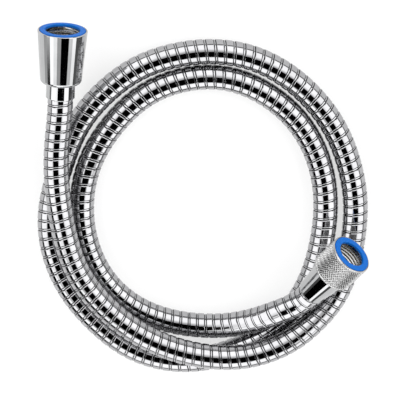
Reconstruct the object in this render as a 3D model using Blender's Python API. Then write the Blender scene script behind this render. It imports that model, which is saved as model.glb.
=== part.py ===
"""A flexible steel shower hose, 14 mm thick, lying loosely coiled as it comes out of its pack.

One end has the conical nut that a hand shower screws into, the other the knurled nut for the wall
outlet. Each nut turns freely on the flange of a barbed brass insert, and a crimped ferrule holds
that insert in the end of the hose.
"""

import math

import bpy
import numpy as np
from mathutils import Matrix, Vector

MM = 0.001

# Clearances between neighbouring pieces.
GAP = 0.3 * MM
TURNING_GAP = 0.5 * MM

# The hose.
HOSE_DIAMETER = 14.0 * MM
HOSE_SIDES = 12
HOSE_FACET_LENGTH = 16.2 * MM
SEATED_DEPTH = 5.2 * MM

# Where the hose leaves each ferrule, and which way that end points.
CONE_EXIT_MM = (-77.6, 63.4, 21.9)
CONE_HEADING_DEG = 87.0
CONE_TILT_DEG = 3.5
NUT_EXIT_MM = (60.4, -48.2, 25.2)
NUT_HEADING_DEG = 52.0
NUT_TILT_DEG = 22.3
LEAD_MM = 9.0

# The route between the two ends, in millimetres above the table's top. The strand from the cone
# lies on the two others, passes over the outer one at the bottom, and comes down on the right;
# the strand to the knurled nut climbs over the one that runs up into the inner turn.
ROUTE_MM = (
    (-79.5, 41.2, 21.3), (-80.5, 27.7, 21.5), (-80.0, 9.2, 21.3), (-77.0, -13.3, 20.7),
    (-69.5, -38.3, 20.0), (-55.5, -58.3, 20.0), (-38.5, -72.8, 20.4), (-20.0, -82.3, 21.0),
    (1.5, -87.8, 21.5), (21.0, -88.3, 21.6), (37.5, -84.3, 21.2), (52.0, -77.3, 19.0),
    (64.0, -67.8, 15.2), (73.5, -56.8, 11.3), (80.0, -42.8, 8.3), (84.0, -23.8, 7.0),
    (85.0, -1.3, 7.0), (81.5, 19.2, 7.0), (74.0, 39.2, 7.0), (60.0, 59.2, 7.0),
    (44.5, 72.7, 7.0), (27.0, 81.5, 7.0), (6.0, 85.1, 7.0), (-14.4, 83.1, 7.0),
    (-34.5, 76.1, 7.0), (-52.5, 63.2, 7.0), (-68.5, 43.7, 7.0), (-79.0, 18.2, 7.0),
    (-85.0, -7.3, 7.0), (-83.5, -30.8, 7.0), (-74.0, -54.3, 7.0), (-58.5, -73.8, 7.0),
    (-39.0, -88.8, 7.0), (-18.0, -95.3, 7.0), (1.0, -94.8, 7.0), (20.0, -88.8, 7.0),
    (36.0, -79.6, 7.0), (49.0, -67.0, 7.0), (60.0, -48.6, 7.0), (66.5, -25.8, 7.0),
    (68.5, -1.3, 7.0), (65.0, 20.7, 7.0), (54.0, 43.2, 7.0), (36.4, 60.0, 7.0),
    (15.1, 69.5, 7.0), (-8.2, 69.7, 7.0), (-30.6, 61.1, 7.0), (-49.2, 43.9, 7.0),
    (-61.9, 23.0, 7.0), (-67.4, -1.8, 7.0), (-64.8, -26.4, 7.0), (-55.0, -47.8, 7.0),
    (-37.9, -64.0, 7.0), (-18.0, -72.3, 7.0), (0.5, -74.6, 7.9), (16.0, -73.1, 10.5),
    (29.0, -68.9, 14.3), (40.5, -62.9, 19.4),
)

# Ferrules, crimped round the ends of the hose.
FERRULE_WALL = 0.6 * MM
FERRULE_END_WALL = 1.5 * MM
CONE_FERRULE_LENGTH = 19.5 * MM
TAPERED_FERRULE_LENGTH = 18.8 * MM
TAPERED_FERRULE_RADIUS = 9.9 * MM
FERRULE_EDGE = 0.5 * MM

# Inserts: a barbed tail in the hose, a neck and the flange that carries the nut.
INSERT_BORE_RADIUS = 3.5 * MM
INSERT_TAIL_RADIUS = 4.5 * MM
INSERT_BARB_HEIGHT = 0.7 * MM
INSERT_BARBS = 3
INSERT_WAIST_RADIUS = 5.0 * MM
INSERT_NECK_RADIUS = 6.0 * MM
INSERT_FLANGE_RADIUS = 8.9 * MM
INSERT_FLANGE_THICKNESS = 2.5 * MM

# The plain bearing ring between flange and nut.
RING_THICKNESS = 1.2 * MM

# Nuts. The thread's crests are left out, so the bore is the thread's outer diameter.
THREAD_BORE_RADIUS = 10.3 * MM
CONE_NUT_START = 8.6 * MM
CONE_NUT_LENGTH = 29.8 * MM
CONE_NUT_MOUTH_WALL = 3.4 * MM
CONE_NUT_MOUTH_RADIUS = THREAD_BORE_RADIUS + CONE_NUT_MOUTH_WALL
CONE_NUT_SKIRT_RADIUS = HOSE_DIAMETER / 2 + GAP + FERRULE_WALL + TURNING_GAP
CONE_NUT_FOOT_WALL = 2.8 * MM
CONE_NUT_FOOT_RADIUS = CONE_NUT_SKIRT_RADIUS + CONE_NUT_FOOT_WALL
CONE_SHOULDER_THICKNESS = 3.0 * MM
CONE_NUT_FOOT_FILLET = 2.2 * MM
KNURLED_NUT_LENGTH = 18.0 * MM
KNURLED_NUT_WALL = 1.7 * MM
KNURLED_NUT_RADIUS = THREAD_BORE_RADIUS + KNURLED_NUT_WALL
KNURLED_SHOULDER_THICKNESS = 2.7 * MM
NUT_EDGE = 0.4 * MM

# The diamond knurl: two crossing sets of grooves, a plain band left at either rim.
KNURL_STARTS = 40
KNURL_DEPTH = 0.45 * MM
KNURL_RIM = 0.6 * MM

# Washers, seated in the nuts' mouths and standing a little proud.
CONE_RIM_WALL = 0.8 * MM
CONE_WASHER_RADIUS = CONE_NUT_MOUTH_RADIUS - CONE_RIM_WALL - GAP
CONE_WASHER_WIDTH = 3.15 * MM
CONE_WASHER_HOLE_RADIUS = CONE_WASHER_RADIUS - CONE_WASHER_WIDTH
KNURLED_RIM_WALL = 0.5 * MM
NUT_WASHER_RADIUS = KNURLED_NUT_RADIUS - KNURLED_RIM_WALL - GAP
NUT_WASHER_WIDTH = 3.45 * MM
NUT_WASHER_HOLE_RADIUS = NUT_WASHER_RADIUS - NUT_WASHER_WIDTH
WASHER_THICKNESS = 1.4 * MM
WASHER_PROUD = 0.4 * MM
WASHER_EDGE = 0.4 * MM

SIDES = 40
EDGE_STEPS = 3
FILLET_FACET = 0.4 * MM


def clear_scene():
    for thing in list(bpy.data.objects):
        bpy.data.objects.remove(thing, do_unlink=True)


def material(name, colour, metallic, roughness):
    made = bpy.data.materials.new(name)
    made.use_nodes = True
    shader = made.node_tree.nodes["Principled BSDF"]
    shader.inputs["Base Color"].default_value = (*colour, 1.0)
    shader.inputs["Metallic"].default_value = metallic
    shader.inputs["Roughness"].default_value = roughness
    return made


def direction(heading_deg, tilt_deg):
    """The unit vector with this heading from +X and this tilt above the table."""
    heading, tilt = math.radians(heading_deg), math.radians(tilt_deg)
    level = math.cos(tilt)
    return Vector((level * math.cos(heading), level * math.sin(heading), math.sin(tilt)))


def rounded(corners):
    """A closed outline of (radius, height) points; a corner with a third value is rounded by it."""
    outline = []
    for i, corner in enumerate(corners):
        here = Vector(corner[:2])
        if len(corner) == 2:
            outline.append(tuple(here))
            continue
        before = (Vector(corners[i - 1][:2]) - here).normalized()
        after = (Vector(corners[(i + 1) % len(corners)][:2]) - here).normalized()
        half_angle = before.angle(after) / 2
        back = corner[2] / math.tan(half_angle)
        centre = here + (before + after).normalized() * corner[2] / math.sin(half_angle)
        start, end = here + before * back - centre, here + after * back - centre
        turn = start.angle(end)
        steps = max(EDGE_STEPS, round(corner[2] / FILLET_FACET))
        for k in range(steps + 1):
            share = k / steps
            spoke = start * math.sin((1 - share) * turn) + end * math.sin(share * turn)
            outline.append(tuple(centre + spoke / math.sin(turn)))
    return outline


def ring_points(outline, sides):
    """The outline's points at each of the sides in turn."""
    return [
        (radius * math.cos(angle), radius * math.sin(angle), height)
        for angle in (2 * math.pi * k / sides for k in range(sides))
        for radius, height in outline
    ]


def ring_faces(rings, sides):
    return [
        (
            k * rings + i,
            (k + 1) % sides * rings + i,
            (k + 1) % sides * rings + (i + 1) % rings,
            k * rings + (i + 1) % rings,
        )
        for k in range(sides)
        for i in range(rings)
    ]


def solid(name, points, faces, finish, seat):
    mesh = bpy.data.meshes.new(name)
    mesh.from_pydata(points, [], faces)
    mesh.shade_smooth()
    mesh.set_sharp_from_angle(angle=math.radians(30))
    mesh.materials.append(finish)
    piece = bpy.data.objects.new(name, mesh)
    bpy.context.scene.collection.objects.link(piece)
    piece.parent = seat
    return piece


def turned(name, outline, finish, seat):
    """A ring-shaped piece: the outline, anticlockwise with radius to the right, turned about Z."""
    return solid(name, ring_points(outline, SIDES), ring_faces(len(outline), SIDES), finish, seat)


def end_seat(name, exit_mm, heading_deg, tilt_deg):
    """An empty at the ferrule's open end, its Z axis along the fitting towards the mouth."""
    seat = bpy.data.objects.new(name, None)
    bpy.context.scene.collection.objects.link(seat)
    turn = direction(heading_deg, tilt_deg).to_track_quat("Z", "Y").to_matrix().to_4x4()
    seat.matrix_world = Matrix.Translation(Vector(exit_mm) * MM) @ turn
    return seat


def smooth_points(stops, spacing):
    """Points about this far apart on the natural cubic spline through the stops."""
    spans = np.linalg.norm(np.diff(stops, axis=0), axis=1)
    knots = np.concatenate([[0.0], np.cumsum(spans)])
    size = len(stops)
    system, bends = np.eye(size), np.zeros((size, 3))
    for i in range(1, size - 1):
        system[i, i - 1 : i + 2] = spans[i - 1], 2 * (spans[i - 1] + spans[i]), spans[i]
        slopes = (stops[i + 1] - stops[i]) / spans[i] - (stops[i] - stops[i - 1]) / spans[i - 1]
        bends[i] = 6 * slopes
    bends = np.linalg.solve(system, bends)
    places = np.linspace(0.0, knots[-1], round(knots[-1] / spacing) + 1)
    piece = np.clip(np.searchsorted(knots, places, side="right") - 1, 0, size - 2)
    width = spans[piece][:, None]
    a = (knots[piece + 1] - places)[:, None] / width
    b = 1 - a
    curve = (a**3 - a) * bends[piece] + (b**3 - b) * bends[piece + 1]
    return a * stops[piece] + b * stops[piece + 1] + curve * width**2 / 6


def hose_route():
    """The hose's stops in metres, from inside the cone's ferrule to inside the tapered one."""
    cone_way = direction(CONE_HEADING_DEG, CONE_TILT_DEG)
    nut_way = direction(NUT_HEADING_DEG, NUT_TILT_DEG)
    cone_exit, nut_exit = Vector(CONE_EXIT_MM) * MM, Vector(NUT_EXIT_MM) * MM
    lead = LEAD_MM * MM
    stops = [cone_exit + cone_way * SEATED_DEPTH, cone_exit - cone_way * lead]
    stops += [Vector(point) * MM for point in ROUTE_MM]
    stops += [nut_exit - nut_way * lead, nut_exit + nut_way * SEATED_DEPTH]
    return np.array(stops)


def hose(finish):
    data = bpy.data.curves.new("hose", "CURVE")
    data.dimensions = "3D"
    data.bevel_depth = HOSE_DIAMETER / 2
    data.bevel_resolution = round(HOSE_SIDES / 2) - 2
    data.use_fill_caps = True
    data.twist_mode = "MINIMUM"
    spline = data.splines.new("POLY")
    places = smooth_points(hose_route(), HOSE_FACET_LENGTH)
    spline.points.add(len(places) - 1)
    for point, place in zip(spline.points, places):
        point.co = (*place, 1.0)
    spline.use_smooth = True
    data.materials.append(finish)
    tube = bpy.data.objects.new("hose", data)
    bpy.context.scene.collection.objects.link(tube)
    return tube


def ferrule(name, length, end_radius, finish, seat):
    """A cup, open towards the hose, whose end wall the insert's waist passes through."""
    bore = HOSE_DIAMETER / 2 + GAP
    hole = INSERT_WAIST_RADIUS + GAP
    floor = length - FERRULE_END_WALL
    outline = rounded([
        (bore, 0.0),
        (bore + FERRULE_WALL, 0.0, FERRULE_EDGE),
        (end_radius, length, FERRULE_EDGE),
        (hole, length),
        (hole, floor),
        (bore, floor),
    ])
    return turned(name, outline, finish, seat)


def insert(name, ferrule_length, flange_start, finish, seat):
    """The barbed tail from the hose's end face up, then waist, neck and flange, all bored through."""
    tail_start = SEATED_DEPTH + GAP
    tail_end = ferrule_length - FERRULE_END_WALL - GAP
    pitch = (tail_end - tail_start) / (INSERT_BARBS + 1)
    outline = [(INSERT_BORE_RADIUS, tail_start)]
    for k in range(INSERT_BARBS):
        low = tail_start + k * pitch
        outline += [
            (INSERT_TAIL_RADIUS, low),
            (INSERT_TAIL_RADIUS + INSERT_BARB_HEIGHT, low + 0.8 * pitch),
            (INSERT_TAIL_RADIUS, low + 0.82 * pitch),
        ]
    outline += [
        (INSERT_TAIL_RADIUS, tail_end),
        (INSERT_WAIST_RADIUS, tail_end),
        (INSERT_WAIST_RADIUS, ferrule_length + GAP),
        (INSERT_NECK_RADIUS, ferrule_length + GAP),
        (INSERT_NECK_RADIUS, flange_start),
        (INSERT_FLANGE_RADIUS, flange_start),
        (INSERT_FLANGE_RADIUS, flange_start + INSERT_FLANGE_THICKNESS),
        (INSERT_BORE_RADIUS, flange_start + INSERT_FLANGE_THICKNESS),
    ]
    return turned(name, outline, finish, seat)


def bearing_ring(name, shoulder_top, finish, seat):
    low = shoulder_top + GAP
    inner = INSERT_NECK_RADIUS + GAP
    outline = [
        (inner, low),
        (INSERT_FLANGE_RADIUS, low),
        (INSERT_FLANGE_RADIUS, low + RING_THICKNESS),
        (inner, low + RING_THICKNESS),
    ]
    return turned(name, outline, finish, seat)


def washer(name, radius, hole_radius, mouth, finish, seat):
    top = mouth + WASHER_PROUD
    low = top - WASHER_THICKNESS
    outline = rounded([
        (hole_radius, low),
        (radius, low),
        (radius, top, WASHER_EDGE),
        (hole_radius, top, WASHER_EDGE),
    ])
    return turned(name, outline, finish, seat)


def washer_seat(washer_radius, mouth):
    """The mouth's recess, as outline points from the rim inwards and down to the thread bore."""
    floor = mouth + WASHER_PROUD - WASHER_THICKNESS - GAP
    wall = washer_radius + GAP
    return [(wall, mouth), (wall, floor), (THREAD_BORE_RADIUS, floor)]


def cone_nut(shoulder_low, finish, seat):
    """The smooth conical nut: a skirt over the ferrule, the shoulder and the threaded bore."""
    start, mouth = CONE_NUT_START, CONE_NUT_START + CONE_NUT_LENGTH
    shoulder_top = shoulder_low + CONE_SHOULDER_THICKNESS
    skirt = CONE_NUT_SKIRT_RADIUS
    neck = INSERT_NECK_RADIUS + TURNING_GAP
    outline = rounded([
        (skirt, start),
        (CONE_NUT_FOOT_RADIUS, start, CONE_NUT_FOOT_FILLET),
        (CONE_NUT_MOUTH_RADIUS, mouth, NUT_EDGE),
        *washer_seat(CONE_WASHER_RADIUS, mouth),
        (THREAD_BORE_RADIUS, shoulder_top),
        (neck, shoulder_top),
        (neck, shoulder_low),
        (skirt, shoulder_low),
    ])
    return turned("cone_nut", outline, finish, seat)


def knurled_nut(start, finish, seat):
    """The short nut for the wall outlet, whose shoulder turns on top of the tapered ferrule.

    Its outer wall is a lattice whose every other point is sunk, so each point left standing is the
    tip of a four-sided pyramid, and the rows of sunk points are the knurl's grooves.
    """
    mouth = start + KNURLED_NUT_LENGTH
    shoulder_top = start + KNURLED_SHOULDER_THICKNESS
    neck = INSERT_NECK_RADIUS + TURNING_GAP
    outline = rounded([
        (neck, start),
        (KNURLED_NUT_RADIUS, start, NUT_EDGE),
        (KNURLED_NUT_RADIUS, mouth, NUT_EDGE),
        *washer_seat(NUT_WASHER_RADIUS, mouth),
        (THREAD_BORE_RADIUS, shoulder_top),
        (neck, shoulder_top),
    ])
    low, high = start + KNURL_RIM, mouth - KNURL_RIM
    half_pitch = math.pi * KNURLED_NUT_RADIUS / KNURL_STARTS
    rows = max(2, round((high - low) / half_pitch))
    first = next(i for i, (_, height) in enumerate(outline) if height > (start + mouth) / 2)
    wall = [(KNURLED_NUT_RADIUS, low + (high - low) * i / rows) for i in range(rows + 1)]
    outline[first:first] = wall
    sides, rings = 2 * KNURL_STARTS, len(outline)

    def sunk(column, row):
        return first <= row <= first + rows and (column + row) % 2 == 1

    points = ring_points(outline, sides)
    for k in range(sides):
        for i in range(first, first + rows + 1):
            if sunk(k, i):
                x, y, height = points[k * rings + i]
                share = 1 - KNURL_DEPTH / KNURLED_NUT_RADIUS
                points[k * rings + i] = (x * share, y * share, height)
    faces = []
    for number, (a, b, c, d) in enumerate(ring_faces(rings, sides)):
        k, i = divmod(number, rings)
        if not first - 1 <= i <= first + rows:
            faces.append((a, b, c, d))
        elif sunk(k, i) or sunk(k + 1, i + 1):
            faces += [(a, b, c), (a, c, d)]
        else:
            faces += [(a, b, d), (b, c, d)]
    return solid("knurled_nut", points, faces, finish, seat)


def cone_end(chrome, brass, nylon, blue):
    seat = end_seat("cone_end", CONE_EXIT_MM, CONE_HEADING_DEG, CONE_TILT_DEG)
    ferrule_radius = HOSE_DIAMETER / 2 + GAP + FERRULE_WALL
    shoulder_low = CONE_FERRULE_LENGTH + TURNING_GAP
    shoulder_top = shoulder_low + CONE_SHOULDER_THICKNESS
    flange_start = shoulder_top + GAP + RING_THICKNESS + GAP
    mouth = CONE_NUT_START + CONE_NUT_LENGTH
    ferrule("cone_ferrule", CONE_FERRULE_LENGTH, ferrule_radius, chrome, seat)
    insert("cone_insert", CONE_FERRULE_LENGTH, flange_start, brass, seat)
    bearing_ring("cone_bearing_ring", shoulder_top, nylon, seat)
    cone_nut(shoulder_low, chrome, seat)
    washer("cone_washer", CONE_WASHER_RADIUS, CONE_WASHER_HOLE_RADIUS, mouth, blue, seat)


def nut_end(chrome, brass, nylon, blue):
    seat = end_seat("nut_end", NUT_EXIT_MM, NUT_HEADING_DEG, NUT_TILT_DEG)
    start = TAPERED_FERRULE_LENGTH + TURNING_GAP
    shoulder_top = start + KNURLED_SHOULDER_THICKNESS
    flange_start = shoulder_top + GAP + RING_THICKNESS + GAP
    mouth = start + KNURLED_NUT_LENGTH
    ferrule("tapered_ferrule", TAPERED_FERRULE_LENGTH, TAPERED_FERRULE_RADIUS, chrome, seat)
    insert("nut_insert", TAPERED_FERRULE_LENGTH, flange_start, brass, seat)
    bearing_ring("nut_bearing_ring", shoulder_top, nylon, seat)
    knurled_nut(start, chrome, seat)
    washer("nut_washer", NUT_WASHER_RADIUS, NUT_WASHER_HOLE_RADIUS, mouth, blue, seat)


def build():
    clear_scene()
    steel = material("polished_steel", (0.80, 0.80, 0.82), 1.0, 0.10)
    chrome = material("chrome", (0.86, 0.87, 0.88), 1.0, 0.05)
    brass = material("brass", (0.80, 0.62, 0.32), 1.0, 0.30)
    nylon = material("nylon", (0.90, 0.90, 0.86), 0.0, 0.45)
    blue = material("blue_rubber", (0.02, 0.16, 0.72), 0.0, 0.40)
    hose(steel)
    cone_end(chrome, brass, nylon, blue)
    nut_end(chrome, brass, nylon, blue)
    bpy.context.view_layer.update()


build()
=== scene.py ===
"""The shower hose as in the photograph: loosely coiled on a white table, seen from above."""

import math
from typing import NamedTuple

import bpy
import numpy as np
from mathutils import Matrix, Vector


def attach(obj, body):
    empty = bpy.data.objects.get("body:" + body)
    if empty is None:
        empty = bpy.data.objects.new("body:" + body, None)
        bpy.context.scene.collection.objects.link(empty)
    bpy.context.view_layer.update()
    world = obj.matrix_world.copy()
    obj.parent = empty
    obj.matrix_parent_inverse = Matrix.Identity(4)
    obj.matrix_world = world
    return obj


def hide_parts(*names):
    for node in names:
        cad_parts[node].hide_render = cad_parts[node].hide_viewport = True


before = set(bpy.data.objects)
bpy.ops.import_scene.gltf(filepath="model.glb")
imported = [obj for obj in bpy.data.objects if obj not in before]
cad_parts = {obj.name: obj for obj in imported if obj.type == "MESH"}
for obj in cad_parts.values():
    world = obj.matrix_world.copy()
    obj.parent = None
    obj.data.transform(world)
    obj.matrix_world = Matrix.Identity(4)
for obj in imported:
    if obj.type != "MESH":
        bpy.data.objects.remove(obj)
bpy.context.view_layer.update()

MM = 0.001

# The camera looks down from 18 degrees beyond straight above, on the side of the conical nut.
VIEW_LEAN_DEG = 18.0
VIEW_DISTANCE = 1.5
VIEW_WIDTH = 0.2224
VIEW_TARGET = Vector((-1.5, 0.7, 10.0)) * MM
VIEW_NEAREST = 0.1
VIEW_FARTHEST = 20.0
SENSOR_WIDTH_MM = 36.0

# The hose, with the same route as the solids.
HOSE_DIAMETER = 14.0 * MM
SEATED_DEPTH = 5.2 * MM
CONE_EXIT_MM = (-77.6, 63.4, 21.9)
CONE_HEADING_DEG = 87.0
CONE_TILT_DEG = 3.5
NUT_EXIT_MM = (60.4, -48.2, 25.2)
NUT_HEADING_DEG = 52.0
NUT_TILT_DEG = 22.3
LEAD_MM = 9.0
ROUTE_MM = (
    (-79.5, 41.2, 21.3), (-80.5, 27.7, 21.5), (-80.0, 9.2, 21.3), (-77.0, -13.3, 20.7),
    (-69.5, -38.3, 20.0), (-55.5, -58.3, 20.0), (-38.5, -72.8, 20.4), (-20.0, -82.3, 21.0),
    (1.5, -87.8, 21.5), (21.0, -88.3, 21.6), (37.5, -84.3, 21.2), (52.0, -77.3, 19.0),
    (64.0, -67.8, 15.2), (73.5, -56.8, 11.3), (80.0, -42.8, 8.3), (84.0, -23.8, 7.0),
    (85.0, -1.3, 7.0), (81.5, 19.2, 7.0), (74.0, 39.2, 7.0), (60.0, 59.2, 7.0),
    (44.5, 72.7, 7.0), (27.0, 81.5, 7.0), (6.0, 85.1, 7.0), (-14.4, 83.1, 7.0),
    (-34.5, 76.1, 7.0), (-52.5, 63.2, 7.0), (-68.5, 43.7, 7.0), (-79.0, 18.2, 7.0),
    (-85.0, -7.3, 7.0), (-83.5, -30.8, 7.0), (-74.0, -54.3, 7.0), (-58.5, -73.8, 7.0),
    (-39.0, -88.8, 7.0), (-18.0, -95.3, 7.0), (1.0, -94.8, 7.0), (20.0, -88.8, 7.0),
    (36.0, -79.6, 7.0), (49.0, -67.0, 7.0), (60.0, -48.6, 7.0), (66.5, -25.8, 7.0),
    (68.5, -1.3, 7.0), (65.0, 20.7, 7.0), (54.0, 43.2, 7.0), (36.4, 60.0, 7.0),
    (15.1, 69.5, 7.0), (-8.2, 69.7, 7.0), (-30.6, 61.1, 7.0), (-49.2, 43.9, 7.0),
    (-61.9, 23.0, 7.0), (-67.4, -1.8, 7.0), (-64.8, -26.4, 7.0), (-55.0, -47.8, 7.0),
    (-37.9, -64.0, 7.0), (-18.0, -72.3, 7.0), (0.5, -74.6, 7.9), (16.0, -73.1, 10.5),
    (29.0, -68.9, 14.3), (40.5, -62.9, 19.4),
)
LINE_POINTS = 2600

# The wound strip: one turn's profile as (place along the turn, depth below the crown), in mm. Each
# turn has a wide flat crown and a narrow lower band, with a seam on both sides of the band. The
# seam faces listed below get a near-black metal: painted shade in the seams.
STRIP_PITCH = 5.1 * MM
STRIP_PROFILE_MM = (
    (0.00, 0.22), (0.24, 0.0), (3.39, 0.0), (3.63, 0.22), (3.82, 0.90),
    (4.01, 0.38), (4.17, 0.27), (4.59, 0.27), (4.75, 0.38), (4.93, 0.90),
)
SEAM_SHADE_FACES = (3, 4, 8, 9)
STRIP_SIDES = 36
STRIP_SHARP_DEG = 28.0

# The thread in both nuts: a standard half-inch pipe thread. Its ridge is given as (place along the
# pitch, height), both as shares. It fades in and out over a quarter of a turn.
THREAD_PITCH = 1.814 * MM
THREAD_ROOT = 10.34 * MM
THREAD_CREST = 9.45 * MM
THREAD_RIDGE = ((-0.44, 0.0), (-0.07, 1.0), (0.07, 1.0), (0.44, 0.0))
THREAD_STEPS = 56
THREAD_FADE_STEPS = THREAD_STEPS / 4
THREAD_SHARP_DEG = 25.0
CONE_THREAD_START = 24.0 * MM
CONE_THREAD_END = 36.4 * MM
NUT_THREAD_START = 23.0 * MM
NUT_THREAD_END = 35.3 * MM

# The knurled nut, measured along its axis from where the hose comes out of the sleeve.
NUT_START = 19.3 * MM
NUT_LENGTH = 18.0 * MM
NUT_MOUTH = NUT_START + NUT_LENGTH
NUT_RADIUS = 12.0 * MM
NUT_EDGE = 0.4 * MM
NUT_ROUNDING = 0.3 * NUT_EDGE
NUT_BORE = 10.3 * MM
NUT_NECK = 6.5 * MM
NUT_SHOULDER = NUT_START + 2.7 * MM
NUT_SHARP_DEG = 30.0
RECESS_RADIUS = NUT_RADIUS - 0.5 * MM
RECESS_DEPTH = 1.3 * MM

# The knurl's ridges run both ways round the nut. From the middle of the nearer ridge, the land is
# flat, and over the slope a pit goes down to the depth. A face that lies deeper than the shade's
# share of the depth gets painted shade, a near-black material. The pits fade out over the rim at
# both ends.
KNURL_STARTS = 46
KNURL_DEPTH = 0.42 * MM
KNURL_LAND = 0.42
KNURL_SLOPE = 0.42
KNURL_SHADE = 0.6
KNURL_RIM = 0.5 * MM
KNURL_SIDES = 368
KNURL_ROWS = 90
KNURL_LOW = NUT_START + NUT_EDGE
KNURL_HIGH = NUT_MOUTH - NUT_EDGE
TOLERANCE = 0.01 * MM

# Most of a noise texture's values lie in this range.
NOISE_LOW, NOISE_HIGH = 0.3, 0.7
METAL_BROAD, METAL_FINE = 90.0, 900.0
METAL_BUMP = 0.25

# The room's light by the angle from straight overhead: grey above, white walls, a thin dark line a
# little over the horizon, and light grey down to the horizon.
ROOM_LIGHT = 2.4
ROOM_LEVELS = (
    (0, 0.4), (23, 0.4), (31, 0.75), (42, 1.0), (72, 1.0), (77, 0.8), (79, 0.05), (84, 0.05),
    (86, 0.25), (90, 0.32),
)

# The table's own light leaves only a faint shadow.
TABLE_HALF = 3.0
TABLE_DROP = 0.0002
TABLE_GLOW = 0.66

LAMP_PLACES = {"lamp_left": (-1.1, -0.4, 1.0), "lamp_right": (1.1, 0.5, 1.0)}
LAMP_SIZE = (0.7, 1.2)
LAMP_POWER = 2.5


class Card(NamedTuple):
    """A dark card in the room, of an oval shape with a soft edge.

    A way through the room is measured along the card's axis and across it, level with the table, so
    that a card gives a stripe down a whole fitting. Its two distances from the card's middle, as
    shares of the half sizes, are squared and added up. The card's soft edge starts and ends at two
    values of this sum, and the level is how light the card is.
    """

    heading_deg: float
    tilt_deg: float
    along: float
    half_along: float
    across: float
    half_across: float
    edge_start: float
    edge_end: float
    level: float


OVERHEAD_CARD = Card(
    heading_deg=-90.0, tilt_deg=0.0,
    along=0.12, half_along=0.37, across=0.0, half_across=0.46,
    edge_start=0.9, edge_end=1.08, level=0.0,
)
CONE_STRIPE = Card(
    heading_deg=CONE_HEADING_DEG, tilt_deg=CONE_TILT_DEG,
    along=-0.41, half_along=0.13, across=-0.18, half_across=0.34,
    edge_start=0.85, edge_end=1.2, level=0.0,
)
CONE_SHADE = Card(
    heading_deg=CONE_HEADING_DEG, tilt_deg=CONE_TILT_DEG,
    along=-0.49, half_along=0.09, across=-0.18, half_across=0.80,
    edge_start=0.0, edge_end=1.0, level=0.12,
)
SLEEVE_STRIPE = Card(
    heading_deg=NUT_HEADING_DEG, tilt_deg=NUT_TILT_DEG,
    along=-0.736, half_along=0.12, across=0.13, half_across=0.35,
    edge_start=0.85, edge_end=1.2, level=0.0,
)
DARK_CARDS = (OVERHEAD_CARD, CONE_STRIPE, CONE_SHADE, SLEEVE_STRIPE)


def direction(heading_deg, tilt_deg):
    heading, tilt = math.radians(heading_deg), math.radians(tilt_deg)
    level = math.cos(tilt)
    return Vector((level * math.cos(heading), level * math.sin(heading), math.sin(tilt)))


def seat_matrix(exit_mm, heading_deg, tilt_deg):
    turn = direction(heading_deg, tilt_deg).to_track_quat("Z", "Y").to_matrix().to_4x4()
    return Matrix.Translation(Vector(exit_mm) * MM) @ turn


CONE_SEAT = seat_matrix(CONE_EXIT_MM, CONE_HEADING_DEG, CONE_TILT_DEG)
NUT_SEAT = seat_matrix(NUT_EXIT_MM, NUT_HEADING_DEG, NUT_TILT_DEG)


def place_camera():
    lean = math.radians(VIEW_LEAN_DEG)
    right = Vector((1.0, 0.0, 0.0))
    up = Vector((0.0, math.cos(lean), -math.sin(lean)))
    back = Vector((0.0, math.sin(lean), math.cos(lean)))
    data = bpy.data.cameras.new("camera")
    data.sensor_width = SENSOR_WIDTH_MM
    data.lens = SENSOR_WIDTH_MM * VIEW_DISTANCE / VIEW_WIDTH
    data.clip_start, data.clip_end = VIEW_NEAREST, VIEW_FARTHEST
    camera = bpy.data.objects.new("camera", data)
    turn = Matrix((right, up, back)).transposed()
    camera.matrix_world = Matrix.Translation(VIEW_TARGET + back * VIEW_DISTANCE) @ turn.to_4x4()
    bpy.context.scene.collection.objects.link(camera)
    bpy.context.scene.camera = camera


# Materials


def new_material(name):
    made = bpy.data.materials.new(name)
    made.use_nodes = True
    return made, made.node_tree.nodes, made.node_tree.links, made.node_tree.nodes["Principled BSDF"]


def noise(nodes, links, scale, detail=3.0):
    """A noise texture on object coordinates, in features of about 1/scale metres."""
    place = nodes.new("ShaderNodeTexCoord")
    texture = nodes.new("ShaderNodeTexNoise")
    texture.inputs["Scale"].default_value = scale
    texture.inputs["Detail"].default_value = detail
    links.new(place.outputs["Object"], texture.inputs["Vector"])
    return texture.outputs["Fac"]


def spread(nodes, links, source, low, high):
    """The noise's usual range stretched over low to high."""
    ramp = nodes.new("ShaderNodeMapRange")
    ramp.inputs["From Min"].default_value = NOISE_LOW
    ramp.inputs["From Max"].default_value = NOISE_HIGH
    ramp.inputs["To Min"].default_value = low
    ramp.inputs["To Max"].default_value = high
    links.new(source, ramp.inputs["Value"])
    return ramp.outputs["Result"]


def tinted(nodes, links, source, dark, light):
    """The noise's usual range as colours from dark to light."""
    ramp = nodes.new("ShaderNodeValToRGB")
    ramp.color_ramp.elements[0].position = NOISE_LOW
    ramp.color_ramp.elements[1].position = NOISE_HIGH
    ramp.color_ramp.elements[0].color = (*dark, 1.0)
    ramp.color_ramp.elements[1].color = (*light, 1.0)
    links.new(source, ramp.inputs["Fac"])
    return ramp.outputs["Color"]


def bumped(nodes, links, shader, source, strength, distance):
    bump = nodes.new("ShaderNodeBump")
    bump.inputs["Strength"].default_value = strength
    bump.inputs["Distance"].default_value = distance
    links.new(source, bump.inputs["Height"])
    links.new(bump.outputs["Normal"], shader.inputs["Normal"])


def metal(name, dark, light, smoothest, roughest, wave):
    """A metal with slight changes of tint and polish, and a faint unevenness of its surface."""
    made, nodes, links, shader = new_material(name)
    broad = noise(nodes, links, METAL_BROAD)
    fine = noise(nodes, links, METAL_FINE)
    shader.inputs["Metallic"].default_value = 1.0
    links.new(tinted(nodes, links, broad, dark, light), shader.inputs["Base Color"])
    links.new(spread(nodes, links, fine, smoothest, roughest), shader.inputs["Roughness"])
    bumped(nodes, links, shader, broad, METAL_BUMP, wave)
    return made


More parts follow.
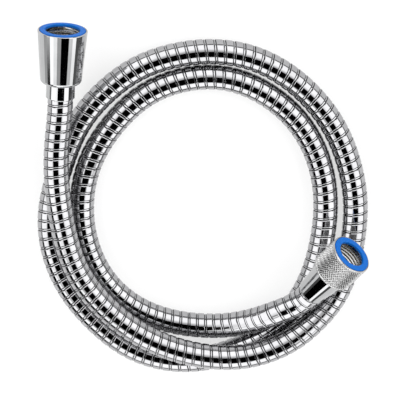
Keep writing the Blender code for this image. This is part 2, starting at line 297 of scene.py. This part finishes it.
def blue_rubber():
    made, nodes, links, shader = new_material("blue_rubber")
    cloud = noise(nodes, links, scale=160.0)
    grain = noise(nodes, links, scale=2600.0, detail=4.0)
    colour = tinted(nodes, links, cloud, dark=(0.004, 0.100, 0.40), light=(0.006, 0.114, 0.45))
    links.new(colour, shader.inputs["Base Color"])
    links.new(spread(nodes, links, grain, low=0.40, high=0.52), shader.inputs["Roughness"])
    shader.inputs["Specular IOR Level"].default_value = 0.08
    bumped(nodes, links, shader, grain, strength=0.15, distance=0.04 * MM)
    return made


def nylon():
    made, nodes, links, shader = new_material("nylon")
    grain = noise(nodes, links, scale=1400.0)
    colour = tinted(nodes, links, grain, dark=(0.80, 0.80, 0.76), light=(0.90, 0.90, 0.86))
    links.new(colour, shader.inputs["Base Color"])
    links.new(spread(nodes, links, grain, low=0.35, high=0.5), shader.inputs["Roughness"])
    return made


def table_top():
    made, nodes, links, shader = new_material("table_top")
    cloud = noise(nodes, links, scale=3.0)
    colour = tinted(nodes, links, cloud, dark=(0.29, 0.29, 0.29), light=(0.31, 0.31, 0.31))
    links.new(colour, shader.inputs["Base Color"])
    shader.inputs["Roughness"].default_value = 0.9
    shader.inputs["Specular IOR Level"].default_value = 0.1
    shader.inputs["Emission Color"].default_value = (1.0, 1.0, 1.0, 1.0)
    shader.inputs["Emission Strength"].default_value = TABLE_GLOW
    return made


# Meshes


def finish_mesh(name, points, faces, matrix, surface, body, sharp_deg):
    mesh = bpy.data.meshes.new(name)
    mesh.from_pydata(points, [], faces)
    mesh.validate()
    mesh.shade_smooth()
    mesh.set_sharp_from_angle(angle=math.radians(sharp_deg))
    mesh.materials.append(surface)
    piece = bpy.data.objects.new(name, mesh)
    piece.matrix_world = matrix
    bpy.context.scene.collection.objects.link(piece)
    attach(piece, body)
    return piece


def smooth_curve(stops, count):
    """Points an equal way apart on the natural cubic spline through the stops."""
    spans = np.linalg.norm(np.diff(stops, axis=0), axis=1)
    knots = np.concatenate([[0.0], np.cumsum(spans)])
    size = len(stops)
    system, bends = np.eye(size), np.zeros((size, 3))
    for i in range(1, size - 1):
        system[i, i - 1 : i + 2] = spans[i - 1], 2 * (spans[i - 1] + spans[i]), spans[i]
        slopes = (stops[i + 1] - stops[i]) / spans[i] - (stops[i] - stops[i - 1]) / spans[i - 1]
        bends[i] = 6 * slopes
    bends = np.linalg.solve(system, bends)
    places = np.linspace(0.0, knots[-1], count)
    span = np.clip(np.searchsorted(knots, places, side="right") - 1, 0, size - 2)
    width = spans[span][:, None]
    a = (knots[span + 1] - places)[:, None] / width
    b = 1 - a
    curve = (a**3 - a) * bends[span] + (b**3 - b) * bends[span + 1]
    return a * stops[span] + b * stops[span + 1] + curve * width**2 / 6


def hose_line():
    """The hose's centre line, from inside the conical end to inside the knurled end."""
    cone_way = direction(CONE_HEADING_DEG, CONE_TILT_DEG)
    nut_way = direction(NUT_HEADING_DEG, NUT_TILT_DEG)
    cone_exit, nut_exit = Vector(CONE_EXIT_MM) * MM, Vector(NUT_EXIT_MM) * MM
    stops = [cone_exit + cone_way * SEATED_DEPTH, cone_exit - cone_way * LEAD_MM * MM]
    stops += [Vector(point) * MM for point in ROUTE_MM]
    stops += [nut_exit - nut_way * LEAD_MM * MM, nut_exit + nut_way * SEATED_DEPTH]
    return smooth_curve(np.array(stops), LINE_POINTS)


class Line:
    """A curve with a frame that doesn't twist, read at any distance along it."""

    def __init__(self, points):
        self.points = points
        steps = np.linalg.norm(np.diff(points, axis=0), axis=1)
        self.places = np.concatenate([[0.0], np.cumsum(steps)])
        self.length = self.places[-1]
        along = np.gradient(points, axis=0)
        along /= np.linalg.norm(along, axis=1)[:, None]
        side = np.zeros_like(points)
        first = np.cross(along[0], (0.0, 0.0, 1.0))
        side[0] = first / np.linalg.norm(first)
        for i in range(1, len(points)):
            kept = side[i - 1] - along[i] * np.dot(side[i - 1], along[i])
            side[i] = kept / np.linalg.norm(kept)
        self.side, self.up = side, np.cross(along, side)

    def read(self, table, places):
        return np.stack([np.interp(places, self.places, table[:, k]) for k in range(3)], axis=-1)


def strip_points(line):
    """The profile's points swept round the line, a row for each, and each point's place on it."""
    profile = np.array(STRIP_PROFILE_MM) * MM
    turns = int(math.ceil(line.length / STRIP_PITCH)) + 1
    turn_number, spot = np.divmod(np.arange(turns * len(profile)), len(profile))
    start = (turn_number - 1) * STRIP_PITCH + profile[spot, 0]
    radius = HOSE_DIAMETER / 2 - profile[spot, 1]
    turned = np.arange(STRIP_SIDES) / STRIP_SIDES
    places = start[:, None] + turned * STRIP_PITCH
    angle = 2 * math.pi * turned[:, None]
    on_line = np.clip(places, 0.0, line.length)
    centre, side, up = (line.read(table, on_line) for table in (line.points, line.side, line.up))
    spoke = side * np.cos(angle) + up * np.sin(angle)
    return centre + spoke * radius[:, None, None], places


def strip_faces(rows):
    """The strip's quads, and for each whether it lies in a seam, where the painted shade goes.

    A row goes once round the hose, and ends at the first point of the same row one turn later.
    """
    per_turn = len(STRIP_PROFILE_MM)
    numbers = np.arange(rows * STRIP_SIDES).reshape(rows, STRIP_SIDES)
    faces, in_seam_shade = [], []
    for row in range(rows - 1):
        here, there = list(numbers[row]), list(numbers[row + 1])
        if row + 1 + per_turn < rows:
            here.append(numbers[row + per_turn, 0])
            there.append(numbers[row + 1 + per_turn, 0])
        for k in range(len(here) - 1):
            faces.append((here[k], here[k + 1], there[k + 1], there[k]))
            in_seam_shade.append(row % per_turn in SEAM_SHADE_FACES)
    return faces, in_seam_shade


def wound_hose(surface, hollow_shade):
    """The steel strip wound into a hose: its profile swept along one long helix."""
    line = Line(hose_line())
    points, places = strip_points(line)
    faces, in_seam_shade = strip_faces(len(points))
    # Faces that lie more than half a turn past the hose's ends are left out.
    inside = (places > -STRIP_PITCH / 2) & (places < line.length + STRIP_PITCH / 2)
    inside = inside.ravel()
    near = [i for i, face in enumerate(faces) if any(inside[n] for n in face)]
    used = sorted({n for i in near for n in faces[i]})
    renumber = {n: i for i, n in enumerate(used)}
    faces = [tuple(renumber[n] for n in faces[i]) for i in near]
    in_seam_shade = [in_seam_shade[i] for i in near]
    points = points.reshape(-1, 3)[used].tolist()
    piece = finish_mesh(
        "hose_jacket", points, faces, Matrix(), surface, "hose_body", STRIP_SHARP_DEG
    )
    # The seam faces get the near-black second material: painted shade.
    piece.data.materials.append(hollow_shade)
    piece.data.polygons.foreach_set("material_index", np.array(in_seam_shade, dtype=np.int32))
    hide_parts("hose")
    return piece, line


def thread(name, seat, low, high, surface, body):
    """A ridge that winds up the nut's bore, fading into the wall at both ends."""
    rows = int((high - low) / THREAD_PITCH * THREAD_STEPS)
    points = []
    for i in range(rows + 1):
        angle = 2 * math.pi * i / THREAD_STEPS
        height = low + (high - low) * i / rows
        full = min(1.0, i / THREAD_FADE_STEPS, (rows - i) / THREAD_FADE_STEPS)
        for along, rise in THREAD_RIDGE:
            radius = THREAD_ROOT - (THREAD_ROOT - THREAD_CREST) * rise * full
            place = height + along * THREAD_PITCH
            points.append((radius * math.cos(angle), radius * math.sin(angle), place))
    size = len(THREAD_RIDGE)
    faces = [
        (i * size + k, i * size + k + 1, (i + 1) * size + k + 1, (i + 1) * size + k)
        for i in range(rows)
        for k in range(size - 1)
    ]
    finish_mesh(name, points, faces, seat, surface, body, THREAD_SHARP_DEG)


def turned_outline(outline, sides):
    """The points and quads of a closed outline of (radius, height) turned round Z."""
    rings = len(outline)
    points = [
        (radius * math.cos(angle), radius * math.sin(angle), height)
        for angle in (2 * math.pi * k / sides for k in range(sides))
        for radius, height in outline
    ]
    faces = [
        (
            k * rings + i,
            (k + 1) % sides * rings + i,
            (k + 1) % sides * rings + (i + 1) % rings,
            k * rings + (i + 1) % rings,
        )
        for k in range(sides)
        for i in range(rings)
    ]
    return points, faces


def nut_outline():
    """The nut's closed section, with rows of points on the wall for the knurl."""
    heights = (KNURL_LOW + (KNURL_HIGH - KNURL_LOW) * i / KNURL_ROWS for i in range(KNURL_ROWS + 1))
    wall = [(NUT_RADIUS, height) for height in heights]
    return [
        (NUT_NECK, NUT_START),
        (NUT_RADIUS - NUT_EDGE, NUT_START),
        (NUT_RADIUS - NUT_ROUNDING, NUT_START + NUT_ROUNDING),
        *wall,
        (NUT_RADIUS - NUT_ROUNDING, NUT_MOUTH - NUT_ROUNDING),
        (NUT_RADIUS - NUT_EDGE, NUT_MOUTH),
        (RECESS_RADIUS, NUT_MOUTH),
        (RECESS_RADIUS, NUT_MOUTH - RECESS_DEPTH),
        (NUT_BORE, NUT_MOUTH - RECESS_DEPTH),
        (NUT_BORE, NUT_SHOULDER),
        (NUT_NECK, NUT_SHOULDER),
    ]


def knurled(point):
    """The point of the nut's wall, pressed in where a pit of the knurl lies."""
    x, y, z = point
    radius = math.hypot(x, y)
    on_wall = radius > NUT_RADIUS - TOLERANCE and KNURL_LOW <= z <= KNURL_HIGH
    if not on_wall:
        return point
    turn = 0.5 * KNURL_STARTS * math.atan2(y, x)
    climb = 0.5 * KNURL_STARTS * (z - KNURL_LOW) / NUT_RADIUS
    nearer = min(abs(math.sin(turn + climb)), abs(math.sin(turn - climb)))
    pit = min(1.0, max(0.0, (nearer - KNURL_LAND) / KNURL_SLOPE))
    fade = min(1.0, max(0.0, (min(z - KNURL_LOW, KNURL_HIGH - z) - KNURL_RIM) / KNURL_RIM))
    share = 1 - KNURL_DEPTH * fade * pit / radius
    return x * share, y * share, z


def knurled_nut(surface, pit_shade):
    """The nut with two crossing sets of ridges outside, and pits between them painted dark as
    shade.
    """
    points, faces = turned_outline(nut_outline(), KNURL_SIDES)
    points = [knurled(point) for point in points]
    piece = finish_mesh(
        "knurled_nut_cut", points, faces, NUT_SEAT, surface, "knurled_nut_body",
        NUT_SHARP_DEG,
    )
    piece.data.materials.append(pit_shade)
    # Faces deep in a pit get the near-black material: painted shade.
    for face in piece.data.polygons:
        x, y, z = face.center
        in_pit_shade = RECESS_RADIUS < math.hypot(x, y) < NUT_RADIUS - KNURL_SHADE * KNURL_DEPTH
        if in_pit_shade and KNURL_LOW < z < KNURL_HIGH:
            face.material_index = 1
    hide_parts("knurled_nut")


def repaint(node, surface):
    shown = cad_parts[node]
    shown.data.materials.clear()
    shown.data.materials.append(surface)


# Surroundings


def calculation(nodes, links, operation, first, second=None):
    made = nodes.new("ShaderNodeMath")
    made.operation = operation
    for socket, value in zip(made.inputs, (first, second)):
        if value is None:
            continue
        if isinstance(value, (int, float)):
            socket.default_value = value
        else:
            links.new(value, socket)
    return made.outputs["Value"]


def measured(nodes, links, place, way):
    """How far the place lies along the way."""
    made = nodes.new("ShaderNodeVectorMath")
    made.operation = "DOT_PRODUCT"
    made.inputs[1].default_value = way
    links.new(place, made.inputs[0])
    return made.outputs["Value"]


def dark_card(nodes, links, place, card):
    """The card's own level on it, and 1 off it."""
    axis = direction(card.heading_deg, card.tilt_deg)
    level_way = Vector((0.0, 0.0, 1.0)).cross(axis).normalized()
    sides = ((axis, card.along, card.half_along), (level_way, card.across, card.half_across))
    reach = 0.0
    for way, middle, half in sides:
        offset = calculation(nodes, links, "SUBTRACT", measured(nodes, links, place, way), middle)
        offset = calculation(nodes, links, "DIVIDE", offset, half)
        offset = calculation(nodes, links, "MULTIPLY", offset, offset)
        reach = calculation(nodes, links, "ADD", offset, reach)
    edge = nodes.new("ShaderNodeMapRange")
    edge.inputs["From Min"].default_value = card.edge_start
    edge.inputs["From Max"].default_value = card.edge_end
    edge.inputs["To Min"].default_value = card.level
    links.new(reach, edge.inputs["Value"])
    return edge.outputs["Result"]


def surroundings():
    """A white light tent with dark cards, so that each tube and cone is shaded across its width."""
    world = bpy.data.worlds.new("room")
    bpy.context.scene.world = world
    world.use_nodes = True
    nodes, links = world.node_tree.nodes, world.node_tree.links
    background = nodes["Background"]
    place = nodes.new("ShaderNodeTexCoord").outputs["Generated"]
    height = measured(nodes, links, place, (0.0, 0.0, 1.0))
    angle = calculation(nodes, links, "ARCCOSINE", height)
    share = calculation(nodes, links, "MULTIPLY", angle, 1 / math.pi)
    ramp = nodes.new("ShaderNodeValToRGB")
    elements = ramp.color_ramp.elements
    while len(elements) < len(ROOM_LEVELS):
        elements.new(0.5)
    for element, (degrees, level) in zip(elements, ROOM_LEVELS):
        element.position = degrees / 180
        element.color = (level, level, level, 1.0)
    links.new(share, ramp.inputs["Fac"])
    strength = ROOM_LIGHT
    for card in DARK_CARDS:
        level = dark_card(nodes, links, place, card)
        strength = calculation(nodes, links, "MULTIPLY", strength, level)
    links.new(ramp.outputs["Color"], background.inputs["Color"])
    links.new(strength, background.inputs["Strength"])


def floor():
    mesh = bpy.data.meshes.new("table")
    corners = [(x * TABLE_HALF, y * TABLE_HALF, 0) for x, y in ((-1, -1), (1, -1), (1, 1), (-1, 1))]
    mesh.from_pydata(corners, [], [(0, 1, 2, 3)])
    mesh.materials.append(table_top())
    table = bpy.data.objects.new("table", mesh)
    table.location.z = -TABLE_DROP
    bpy.context.scene.collection.objects.link(table)


def lamp(name, location):
    """A soft lamp that points at the object and isn't mirrored in the metal."""
    data = bpy.data.lights.new(name, "AREA")
    data.shape = "RECTANGLE"
    data.size, data.size_y = LAMP_SIZE
    data.energy = LAMP_POWER
    light = bpy.data.objects.new(name, data)
    light.location = location
    light.rotation_mode = "QUATERNION"
    light.rotation_quaternion = Vector(location).to_track_quat("Z", "Y")
    light.visible_glossy = False
    bpy.context.scene.collection.objects.link(light)


bpy.context.scene.view_settings.view_transform = "Standard"
place_camera()
surroundings()
floor()
for name, location in LAMP_PLACES.items():
    lamp(name, location)

steel = metal(
    "wound_steel", dark=(0.37, 0.37, 0.38), light=(0.43, 0.43, 0.44),
    smoothest=0.05, roughest=0.10, wave=0.01 * MM,
)
# Near-black metal for the strip's seams and the knurl's pits: painted shade in these hollows.
hollow_shade = metal(
    "hollow_shade", dark=(0.015, 0.015, 0.016), light=(0.025, 0.025, 0.026),
    smoothest=0.5, roughest=0.65, wave=0.02 * MM,
)
chrome = metal(
    "chrome_plate", dark=(0.42, 0.425, 0.43), light=(0.46, 0.465, 0.47),
    smoothest=0.03, roughest=0.06, wave=0.004 * MM,
)
satin = metal(
    "satin_chrome", dark=(0.42, 0.42, 0.42), light=(0.50, 0.50, 0.50),
    smoothest=0.20, roughest=0.30, wave=0.004 * MM,
)
brass = metal(
    "brass", dark=(0.62, 0.50, 0.30), light=(0.74, 0.60, 0.36),
    smoothest=0.20, roughest=0.32, wave=0.03 * MM,
)
blue = blue_rubber()
white = nylon()

jacket, line = wound_hose(steel, hollow_shade)
thread("cone_nut_thread", CONE_SEAT, CONE_THREAD_START, CONE_THREAD_END, satin, "cone_nut_body")
thread("knurled_nut_thread", NUT_SEAT, NUT_THREAD_START, NUT_THREAD_END, satin, "knurled_nut_body")
knurled_nut(satin, hollow_shade)
for node in ("cone_ferrule", "cone_nut", "tapered_ferrule"):
    repaint(node, chrome)
for node in ("cone_insert", "nut_insert"):
    repaint(node, brass)
for node in ("cone_bearing_ring", "nut_bearing_ring"):
    repaint(node, white)
for node in ("cone_washer", "nut_washer"):
    repaint(node, blue)
